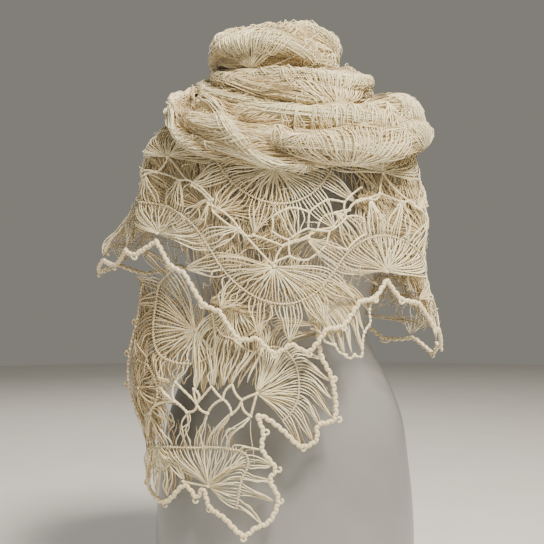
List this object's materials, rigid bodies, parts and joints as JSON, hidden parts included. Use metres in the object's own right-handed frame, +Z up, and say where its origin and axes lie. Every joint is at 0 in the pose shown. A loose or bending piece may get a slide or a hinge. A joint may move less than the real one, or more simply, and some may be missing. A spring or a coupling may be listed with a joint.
{
  "type": "lace shawl on a dress form",
  "caption": "Hairpin-lace shawl wound about the neck and shoulders of a smooth limbless torso dress form, one scalloped end hanging at the left.",
  "frame": {"origin": "centre of the dress form's flat base, on the surface it stands on", "axes": "+Z up along the form's axis, -Y to the front of the shawl, +X to the viewer's right"},
  "size_m": [0.4669, 0.3089, 0.763],
  "materials": {
    "form": "smooth off-white shell with a soft gloss",
    "lace": "fine cream wool yarn in hairpin lace",
    "edge": "crocheted cream wool cord"
  },
  "bodies": {
    "root": {"dress_form": "form", "cowl_top": "lace", "cowl_middle": "lace", "cowl_lower": "lace", "wrap_front": "lace", "wrap_back": "lace", "end_fall": "lace", "edge_front": "edge", "edge_back": "edge", "edge_end": "edge"}
  },
  "joints": []
}
